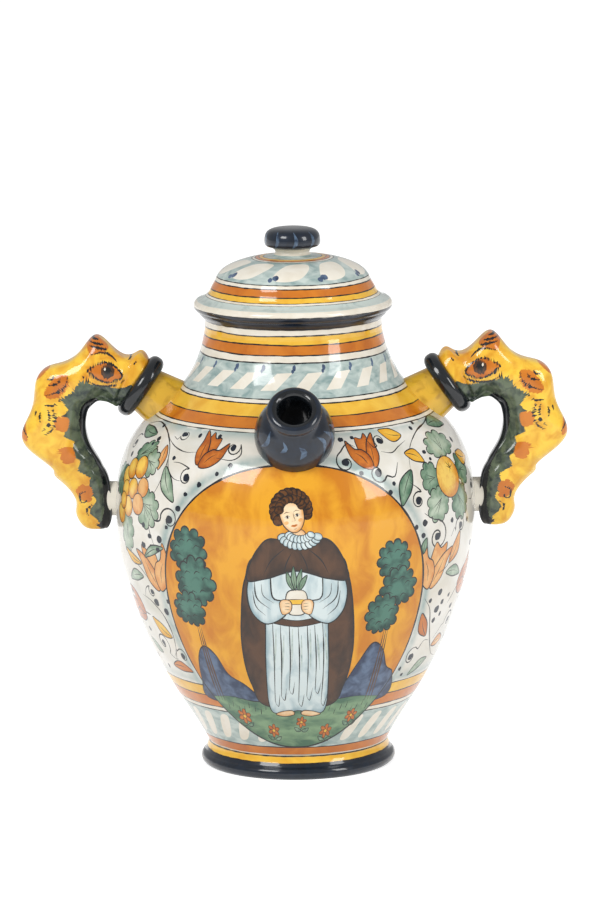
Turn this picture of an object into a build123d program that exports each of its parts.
"""Lidded ceramic apothecary jar with a shoulder spout and two creature handles.

Millimetres, +Z up.  The origin is the middle of the foot on the table, the
spout faces -Y and the handles stand on +X and -X.
"""
import os
from math import copysign, cos, hypot, pi, radians, sin, sqrt
from typing import NamedTuple

from build123d import *

# Jar body, a thrown hollow turned about Z: radii up its side, and the rise
# from each of these points to the next
WALL = 6.0
FLOOR = 8.0
WAIST_RADIUS = 66.6
FOOT_HEIGHT = 17.5
FLANK_RADIUS = 91.0
FLANK_RISE = 40.5
SIDE_RADIUS = 117.0
SIDE_RISE = 55.0
BELLY_RADIUS = 133.0
BELLY_RISE = 80.0
SHOULDER_RADIUS = 119.2
SHOULDER_RISE = 54.0
THROAT_RADIUS = 78.2
THROAT_RISE = 43.0
NECK_RADIUS = 65.2
NECK_RISE = 35.0
WAIST_SLOPE = (0.50, 1.0)
NECK_SLOPE = (-0.18, 1.0)

# Foot ring, luted under the body, out and in from its waist
FOOT_ROLL_HEIGHT = 9.0
FOOT_ROLL_SPREAD = 2.8
FOOT_SPREAD = 5.6
FOOT_SOLE_SPREAD = 3.0
FOOT_RING_WIDTH = 10.6

# Mouth rim, a rolled coil that stands out from the neck
RIM_HEIGHT = 13.5
RIM_OVERHANG = 4.6
RIM_SEAT_OVERHANG = 1.3

# Lid, measured up from the mouth that it rests on and in from its flange
FLANGE_OVERHANG = 3.4
FLANGE_THICKNESS = 9.0
FLANGE_ROUND = 3.6
STEP_INSET = 11.0
STEP_RISE = 4.6
RIDGE_INSET = 5.0
RIDGE_RISE = 9.4
DOME_INSET = 14.2
DOME_RISE = 12.2
CROWN_MARGIN = 0.7
CROWN_RISE = 5.1
LID_WALL = 6.0

# Gallery, the ring under the lid that centres it in the mouth
GALLERY_CLEARANCE = 1.5
GALLERY_THICKNESS = 5.5
GALLERY_DROP = 12.0

# Knob, measured up from the crown of the lid
KNOB_FOOT_RADIUS = 15.3
KNOB_WAIST_RADIUS = 12.6
KNOB_WAIST_HEIGHT = 3.0
KNOB_FLARE_RADIUS = 17.4
KNOB_FLARE_HEIGHT = 6.8
KNOB_RADIUS = 20.6
KNOB_WIDEST_HEIGHT = 11.6
KNOB_HEIGHT = 21.2

# Spout, a thrown bulb with a rolled lip: its middle is measured up from the
# shoulder and out from the jar's side, its levels along its own axis
SPOUT_ELEVATION = 42.0
SPOUT_RISE = 17.0
SPOUT_STANDOFF = 4.4
SPOUT_BULB_RADIUS = 29.0
SPOUT_BULB_DEPTH = 14.0
SPOUT_BULB_TOP = 17.5
SPOUT_SHOULDER = 7.0
SPOUT_NECK_LENGTH = 2.6
SPOUT_NECK_WALL = 6.0
SPOUT_LIP_OVERHANG = 2.3
SPOUT_BORE_RADIUS = 11.6
SPOUT_WALL = 5.0
SPOUT_HOLE_LEDGE = 4.0

# Socket and collar, the root of each handle, tilted up from the shoulder:
# the collar's middle is measured up from the shoulder and out from the side
COLLAR_RISE = 36.0
COLLAR_STANDOFF = 29.4
COLLAR_ELEVATION = 35.0
COLLAR_THICKNESS = 12.0
COLLAR_BAND = 1.2
COLLAR_HALF_LENGTH = 25.2
COLLAR_HALF_WIDTH = 21.0
SOCKET_HALF_LENGTH = 17.6
SOCKET_HALF_WIDTH = 14.4
SOCKET_FLARE = 6.0
SOCKET_ROOT = 32.0

# Creature: ribs from its nape to its tail, drawn down and out from the
# collar's middle as shares of the way from there to the tail's seat
HEAD_HALF_LENGTH = 20.0
HEAD_HALF_DEPTH = 15.5
SECTION_POWER = 2.4
HALF_RIB_STEPS = 6


class Rib(NamedTuple):
    """One section of the creature: belly side, back and half of its depth."""

    belly: tuple[float, float]
    back: tuple[float, float]
    half_depth: float


CREATURE_RIBS = (
    Rib((0.200, 0.192), (-0.230, 0.149), 0.180),  # nape
    Rib((0.190, 0.243), (-0.267, 0.321), 0.180),  # forehead
    Rib((0.192, 0.285), (-0.319, 0.480), 0.168),  # ear
    Rib((0.211, 0.328), (-0.154, 0.573), 0.174),
    Rib((0.257, 0.362), (-0.016, 0.704), 0.174),  # neck
    Rib((0.316, 0.380), (0.130, 0.862), 0.163),  # mane
    Rib((0.381, 0.376), (0.303, 0.856), 0.168),
    Rib((0.444, 0.361), (0.466, 0.854), 0.168),  # back
    Rib((0.513, 0.330), (0.635, 0.878), 0.157),  # hump
    Rib((0.595, 0.275), (0.793, 0.732), 0.163),
    Rib((0.679, 0.192), (0.895, 0.535), 0.157),  # loin
    Rib((0.776, 0.102), (1.030, 0.347), 0.145),
    Rib((0.879, 0.041), (1.125, 0.279), 0.139),  # tail
    Rib((1.000, -0.002), (1.184, 0.268), 0.134),  # curl
    Rib((1.111, -0.034), (1.250, 0.226), 0.128),
    Rib((1.213, -0.041), (1.294, 0.159), 0.110),
    Rib((1.262, 0.000), (1.296, 0.093), 0.058),  # tip
)

# Clay pad that joins the tail of each handle to the belly
PAD_THICKNESS = 3.0
PAD_SINK = 5.0
PAD_HALF_HEIGHT = 13.0
PAD_HALF_WIDTH = 8.0
PAD_RISE = 6.0

FLANK_HEIGHT = FOOT_HEIGHT + FLANK_RISE
SIDE_HEIGHT = FLANK_HEIGHT + SIDE_RISE
BELLY_HEIGHT = SIDE_HEIGHT + BELLY_RISE
SHOULDER_HEIGHT = BELLY_HEIGHT + SHOULDER_RISE
THROAT_HEIGHT = SHOULDER_HEIGHT + THROAT_RISE
NECK_HEIGHT = THROAT_HEIGHT + NECK_RISE
SEAT_HEIGHT = NECK_HEIGHT + RIM_HEIGHT
PAD_HEIGHT = BELLY_HEIGHT + PAD_RISE
SPOUT_HEIGHT = SHOULDER_HEIGHT + SPOUT_RISE
COLLAR_HEIGHT = SHOULDER_HEIGHT + COLLAR_RISE

FOOT_ROLL_RADIUS = WAIST_RADIUS + FOOT_ROLL_SPREAD
FOOT_RADIUS = WAIST_RADIUS + FOOT_SPREAD
FOOT_SOLE_RADIUS = WAIST_RADIUS + FOOT_SOLE_SPREAD
FOOT_HOLLOW_RADIUS = WAIST_RADIUS - FOOT_RING_WIDTH
MOUTH_RADIUS = NECK_RADIUS - WALL
RIM_RADIUS = NECK_RADIUS + RIM_OVERHANG
RIM_SEAT_RADIUS = NECK_RADIUS + RIM_SEAT_OVERHANG
GALLERY_RADIUS = MOUTH_RADIUS - GALLERY_CLEARANCE
GALLERY_BORE = GALLERY_RADIUS - GALLERY_THICKNESS

FLANGE_RADIUS = RIM_RADIUS + FLANGE_OVERHANG
STEP_RADIUS = FLANGE_RADIUS - STEP_INSET
RIDGE_RADIUS = STEP_RADIUS - RIDGE_INSET
DOME_RADIUS = RIDGE_RADIUS - DOME_INSET
CROWN_RADIUS = KNOB_FOOT_RADIUS + CROWN_MARGIN
STEP_HEIGHT = FLANGE_THICKNESS + STEP_RISE
RIDGE_HEIGHT = STEP_HEIGHT + RIDGE_RISE
DOME_HEIGHT = RIDGE_HEIGHT + DOME_RISE
CROWN_HEIGHT = DOME_HEIGHT + CROWN_RISE
CROWN_LEVEL = SEAT_HEIGHT + CROWN_HEIGHT

SPOUT_NECK_RADIUS = SPOUT_BORE_RADIUS + SPOUT_NECK_WALL
SPOUT_LIP_RADIUS = SPOUT_NECK_RADIUS + SPOUT_LIP_OVERHANG
SPOUT_HOLLOW_RADIUS = SPOUT_BULB_RADIUS - SPOUT_WALL
SPOUT_HOLE_RADIUS = SPOUT_HOLLOW_RADIUS - SPOUT_HOLE_LEDGE
COLLAR_ROUND = (COLLAR_THICKNESS - COLLAR_BAND) / 2
SEARCH_STEPS = 40

os.makedirs("parts", exist_ok=True)


def finish(piece, name):
    """Label a finished piece and write its STEP file."""
    piece.part.label = name
    export_step(piece.part, f"parts/{name}.step")


def inset(points, depth):
    """Move the points of a rising outline towards the axis, square to it."""
    moved = []
    last = len(points) - 1
    for i, (r, z) in enumerate(points):
        before = points[max(i - 1, 0)]
        after = points[min(i + 1, last)]
        dr = after[0] - before[0]
        dz = after[1] - before[1]
        length = hypot(dr, dz)
        moved.append((r - depth * dz / length, z + depth * dr / length))
    return moved


side_points = [
    (WAIST_RADIUS, FOOT_HEIGHT),
    (FLANK_RADIUS, FLANK_HEIGHT),
    (SIDE_RADIUS, SIDE_HEIGHT),
    (BELLY_RADIUS, BELLY_HEIGHT),
    (SHOULDER_RADIUS, SHOULDER_HEIGHT),
    (THROAT_RADIUS, THROAT_HEIGHT),
    (NECK_RADIUS, NECK_HEIGHT),
]
with BuildLine() as side_line:
    Spline(*side_points, tangents=(WAIST_SLOPE, NECK_SLOPE))


def side_radius(level):
    """Radius of the jar's outside at this level, found by halving its line."""
    low, high = 0.0, 1.0
    for _ in range(SEARCH_STEPS):
        middle = (low + high) / 2
        if side_line.edge().position_at(middle).Y < level:
            low = middle
        else:
            high = middle
    return side_line.edge().position_at(low).X


# The jar's outside as one solid, which trims what is luted onto it
with BuildPart() as jar_outside:
    with BuildSketch(Plane.XZ):
        with BuildLine():
            Spline(*side_points, tangents=(WAIST_SLOPE, NECK_SLOPE))
            Polyline(
                (NECK_RADIUS, NECK_HEIGHT),
                (0, NECK_HEIGHT),
                (0, FOOT_HEIGHT),
                (WAIST_RADIUS, FOOT_HEIGHT),
            )
        make_face()
    revolve(axis=Axis.Z)

# The hollow inside it, from below the floor to the mouth
inner_points = inset(side_points, WALL)[:-1] + [(MOUTH_RADIUS, NECK_HEIGHT)]
inner_start = inner_points[0]
with BuildPart() as jar_inside:
    with BuildSketch(Plane.XZ):
        with BuildLine():
            Spline(*inner_points, tangents=(WAIST_SLOPE, NECK_SLOPE))
            Polyline(
                (MOUTH_RADIUS, NECK_HEIGHT),
                (0, NECK_HEIGHT),
                (0, inner_start[1]),
                inner_start,
            )
        make_face()
    revolve(axis=Axis.Z)

spout_tilt = radians(SPOUT_ELEVATION)
spout_centre = Vector(0, -side_radius(SPOUT_HEIGHT) - SPOUT_STANDOFF, SPOUT_HEIGHT)
spout_way = Vector(0, -cos(spout_tilt), sin(spout_tilt))
spout_section = Plane(
    origin=spout_centre,
    x_dir=(1, 0, 0),
    z_dir=(0, -sin(spout_tilt), -cos(spout_tilt)),
)
across_spout = Plane(origin=spout_centre, x_dir=(1, 0, 0), z_dir=spout_way)

with BuildPart() as jar_body:
    add(jar_outside.part)
    add(jar_inside.part, mode=Mode.SUBTRACT)
    with BuildSketch(Plane.XY.offset(FOOT_HEIGHT)):
        Circle(WAIST_RADIUS)
    extrude(amount=FLOOR)
    with BuildSketch(across_spout.offset(-SPOUT_HOLE_RADIUS)):
        Circle(SPOUT_HOLE_RADIUS)
    extrude(amount=2 * SPOUT_HOLE_RADIUS, mode=Mode.SUBTRACT)
finish(jar_body, "jar_body")

# Foot ring: a drawn-in flare above a rounded roll, hollow underneath
with BuildPart() as foot_ring:
    roll_mid = FOOT_ROLL_HEIGHT / 2
    with BuildSketch(Plane.XZ):
        with BuildLine():
            Spline(
                (WAIST_RADIUS, FOOT_HEIGHT),
                (FOOT_ROLL_RADIUS, FOOT_ROLL_HEIGHT),
                tangents=((0.02, -1), (0.6, -1)),
            )
            ThreePointArc(
                (FOOT_ROLL_RADIUS, FOOT_ROLL_HEIGHT),
                (FOOT_RADIUS, roll_mid),
                (FOOT_SOLE_RADIUS, 0),
            )
            Polyline(
                (FOOT_SOLE_RADIUS, 0),
                (FOOT_HOLLOW_RADIUS, 0),
                (FOOT_HOLLOW_RADIUS, FOOT_HEIGHT),
                (WAIST_RADIUS, FOOT_HEIGHT),
            )
        make_face()
    revolve(axis=Axis.Z)
finish(foot_ring, "foot_ring")

with BuildPart() as mouth_rim:
    with BuildSketch(Plane.XZ):
        with BuildLine():
            ThreePointArc(
                (NECK_RADIUS, NECK_HEIGHT),
                (RIM_RADIUS, NECK_HEIGHT + RIM_HEIGHT / 2),
                (RIM_SEAT_RADIUS, SEAT_HEIGHT),
            )
            Polyline(
                (RIM_SEAT_RADIUS, SEAT_HEIGHT),
                (MOUTH_RADIUS, SEAT_HEIGHT),
                (MOUTH_RADIUS, NECK_HEIGHT),
                (NECK_RADIUS, NECK_HEIGHT),
            )
        make_face()
    revolve(axis=Axis.Z)
finish(mouth_rim, "mouth_rim")


# Lid: a flange on the rim, a stepped wall and a low dome, hollow below
def lid_outline():
    """Draw the lid's outer line from the flange's underside to the crown."""
    edge = FLANGE_RADIUS - FLANGE_ROUND
    Line((GALLERY_BORE, 0), (edge, 0))
    ThreePointArc(
        (edge, 0),
        (FLANGE_RADIUS, FLANGE_THICKNESS / 2),
        (edge, FLANGE_THICKNESS),
    )
    Spline(
        (edge, FLANGE_THICKNESS),
        (STEP_RADIUS, STEP_HEIGHT),
        tangents=((-1, 0.25), (-1, 0.9)),
    )
    Line((STEP_RADIUS, STEP_HEIGHT), (RIDGE_RADIUS, RIDGE_HEIGHT))
    Spline(
        (RIDGE_RADIUS, RIDGE_HEIGHT),
        (DOME_RADIUS, DOME_HEIGHT),
        (CROWN_RADIUS, CROWN_HEIGHT),
        tangents=((-0.35, 1), (-1, 0.05)),
    )


def lid_hollow():
    """Draw the lid's inner line from the crown down to the gallery."""
    Polyline(
        (CROWN_RADIUS, CROWN_HEIGHT),
        (0, CROWN_HEIGHT),
        (0, CROWN_HEIGHT - LID_WALL),
        (CROWN_RADIUS, CROWN_HEIGHT - LID_WALL),
    )
    Spline(
        (CROWN_RADIUS, CROWN_HEIGHT - LID_WALL),
        (DOME_RADIUS - LID_WALL / 2, DOME_HEIGHT - LID_WALL),
        (RIDGE_RADIUS - LID_WALL, RIDGE_HEIGHT - LID_WALL / 2),
        tangents=((1, -0.05), (0.35, -1)),
    )
    Line((RIDGE_RADIUS - LID_WALL, RIDGE_HEIGHT - LID_WALL / 2), (GALLERY_BORE, 0))


with BuildPart() as lid:
    with BuildSketch(Plane(origin=(0, 0, SEAT_HEIGHT), x_dir=(1, 0, 0), z_dir=(0, -1, 0))):
        with BuildLine():
            lid_outline()
            lid_hollow()
        make_face()
    revolve(axis=Axis.Z)
finish(lid, "lid")

with BuildPart() as lid_gallery:
    with BuildSketch(Plane.XY.offset(SEAT_HEIGHT)):
        Circle(GALLERY_RADIUS)
        Circle(GALLERY_BORE, mode=Mode.SUBTRACT)
    extrude(amount=-GALLERY_DROP)
finish(lid_gallery, "lid_gallery")

# Knob: a waisted stem that opens into a flattened bun
with BuildPart() as lid_knob:
    with BuildSketch(Plane(origin=(0, 0, CROWN_LEVEL), x_dir=(1, 0, 0), z_dir=(0, -1, 0))):
        with BuildLine():
            Spline(
                (KNOB_FOOT_RADIUS, 0),
                (KNOB_WAIST_RADIUS, KNOB_WAIST_HEIGHT),
                (KNOB_FLARE_RADIUS, KNOB_FLARE_HEIGHT),
            )
            Spline(
                (KNOB_FLARE_RADIUS, KNOB_FLARE_HEIGHT),
                (KNOB_RADIUS, KNOB_WIDEST_HEIGHT),
                (0, KNOB_HEIGHT),
                tangents=((1, 0.1), (-1, 0)),
            )
            Polyline((0, KNOB_HEIGHT), (0, 0), (KNOB_FOOT_RADIUS, 0))
        make_face()
    revolve(axis=Axis.Z)
finish(lid_knob, "lid_knob")

# Spout: a ball on the shoulder that narrows to a neck under a rolled lip
lip_round = (SPOUT_LIP_RADIUS - SPOUT_BORE_RADIUS) / 2
lip_middle = (SPOUT_LIP_RADIUS + SPOUT_BORE_RADIUS) / 2
lip_undercut = sqrt(lip_round**2 - (SPOUT_NECK_RADIUS - lip_middle) ** 2)
neck_start = SPOUT_BULB_TOP + SPOUT_SHOULDER
neck_end = neck_start + SPOUT_NECK_LENGTH
lip_level = neck_end + lip_undercut


def on_ball(radius, level):
    """Point on a ball of this radius at this level along the spout."""
    return (sqrt(radius**2 - level**2), level)


with BuildPart() as spout:
    bulb_low = on_ball(SPOUT_BULB_RADIUS, -SPOUT_BULB_DEPTH)
    bulb_high = on_ball(SPOUT_BULB_RADIUS, SPOUT_BULB_TOP)
    hollow_low = on_ball(SPOUT_HOLLOW_RADIUS, -SPOUT_BULB_DEPTH)
    hollow_high = (SPOUT_BORE_RADIUS, sqrt(SPOUT_HOLLOW_RADIUS**2 - SPOUT_BORE_RADIUS**2))
    with BuildSketch(spout_section):
        with BuildLine():
            ThreePointArc(bulb_low, (SPOUT_BULB_RADIUS, 0), bulb_high)
            Spline(
                bulb_high,
                (SPOUT_NECK_RADIUS, neck_start),
                tangents=((-bulb_high[1], bulb_high[0]), (0, 1)),
            )
            Line((SPOUT_NECK_RADIUS, neck_start), (SPOUT_NECK_RADIUS, neck_end))
            ThreePointArc(
                (SPOUT_NECK_RADIUS, neck_end),
                (SPOUT_LIP_RADIUS, lip_level),
                (lip_middle, lip_level + lip_round),
            )
            ThreePointArc(
                (lip_middle, lip_level + lip_round),
                (lip_middle - lip_round * sqrt(0.5), lip_level + lip_round * sqrt(0.5)),
                (SPOUT_BORE_RADIUS, lip_level),
            )
            Line((SPOUT_BORE_RADIUS, lip_level), hollow_high)
            ThreePointArc(hollow_high, (SPOUT_HOLLOW_RADIUS, 0), hollow_low)
            Line(hollow_low, bulb_low)
        make_face()
    revolve(axis=Axis(spout_centre, spout_way))
    add(jar_outside.part, mode=Mode.SUBTRACT)
finish(spout, "spout")

# Root of the right handle: an oval socket and the ring of lips on it
collar_tilt = radians(COLLAR_ELEVATION)
collar_centre = Vector(side_radius(COLLAR_HEIGHT) + COLLAR_STANDOFF, 0, COLLAR_HEIGHT)
collar_way = Vector(cos(collar_tilt), 0, sin(collar_tilt))
across_collar = Plane(origin=collar_centre, x_dir=(0, 1, 0), z_dir=collar_way)

with BuildPart() as collar_right:
    with BuildSketch(across_collar.offset(-COLLAR_THICKNESS / 2)):
        Ellipse(COLLAR_HALF_WIDTH, COLLAR_HALF_LENGTH)
    extrude(amount=COLLAR_THICKNESS)
    fillet(collar_right.edges(), radius=COLLAR_ROUND)
finish(collar_right, "collar_right")

with BuildPart() as socket_right:
    with BuildSketch(across_collar.offset(-COLLAR_THICKNESS / 2)):
        Ellipse(SOCKET_HALF_WIDTH, SOCKET_HALF_LENGTH)
    with BuildSketch(across_collar.offset(-COLLAR_THICKNESS / 2 - SOCKET_ROOT)):
        Ellipse(SOCKET_HALF_WIDTH + SOCKET_FLARE, SOCKET_HALF_LENGTH + SOCKET_FLARE)
    loft()
    add(jar_outside.part, mode=Mode.SUBTRACT)
finish(socket_right, "socket_right")


# Creature: ribs carried from the drawing to the line from collar to belly
seat_radius = side_radius(PAD_HEIGHT)
tail_seat = Vector(seat_radius + PAD_THICKNESS, 0, PAD_HEIGHT)
creature_down = tail_seat - collar_centre
creature_out = Vector(-creature_down.Z, 0, creature_down.X)


def placed(point):
    """Carry a drawn point, down and out from the collar, to the jar."""
    return collar_centre + creature_down * point[0] + creature_out * point[1]


def half_outline(half_length, half_depth):
    """Points from the back round the -X side to the belly, blunter than an oval."""
    points = [(0, half_length)]
    for i in range(1, HALF_RIB_STEPS):
        turn = pi * i / HALF_RIB_STEPS
        x = -half_depth * sin(turn) ** (2 / SECTION_POWER)
        y = half_length * abs(cos(turn)) ** (2 / SECTION_POWER)
        points.append((x, copysign(y, cos(turn))))
    points.append((0, -half_length))
    return points


def rib_face(middle, way, half_length, half_depth):
    """Make one rib: its depth along Y and its length square to the way."""
    down = half_outline(half_length, half_depth)
    up = [(-x, y) for x, y in reversed(down)]
    with BuildSketch(Plane(origin=middle, x_dir=(0, 1, 0), z_dir=way)) as section:
        with BuildLine():
            Spline(*down, tangents=((-1, 0), (1, 0)))
            Spline(*up, tangents=((1, 0), (-1, 0)))
        make_face()
    return section.sketch.face()


head_start = collar_centre + collar_way * (COLLAR_THICKNESS / 2)
rib_faces = [rib_face(head_start, collar_way, HEAD_HALF_LENGTH, HEAD_HALF_DEPTH)]
for rib in CREATURE_RIBS:
    belly = placed(rib.belly)
    back = placed(rib.back)
    rise = back - belly
    along = Vector(rise.Z, 0, -rise.X)
    half_depth = rib.half_depth * creature_down.length
    rib_faces.append(rib_face((belly + back) / 2, along, rise.length / 2, half_depth))

with BuildPart() as handle_right:
    loft(sections=rib_faces)
    add(jar_outside.part, mode=Mode.SUBTRACT)
finish(handle_right, "handle_right")

# Pad of clay pressed between the tail and the belly
with BuildPart() as pad_right:
    with BuildSketch(Plane.YZ.offset(seat_radius - 2 * WALL)):
        with Locations((0, PAD_HEIGHT)):
            Ellipse(PAD_HALF_WIDTH, PAD_HALF_HEIGHT)
    extrude(amount=2 * WALL + PAD_THICKNESS + PAD_SINK)
    add(jar_outside.part, mode=Mode.SUBTRACT)
    add(handle_right.part, mode=Mode.SUBTRACT)
finish(pad_right, "pad_right")

# The left handle mirrors the right one
for name, piece in (
    ("collar_left", collar_right),
    ("socket_left", socket_right),
    ("handle_left", handle_right),
    ("pad_left", pad_right),
):
    with BuildPart() as mirrored:
        mirror(piece.part, about=Plane.YZ)
    finish(mirrored, name)
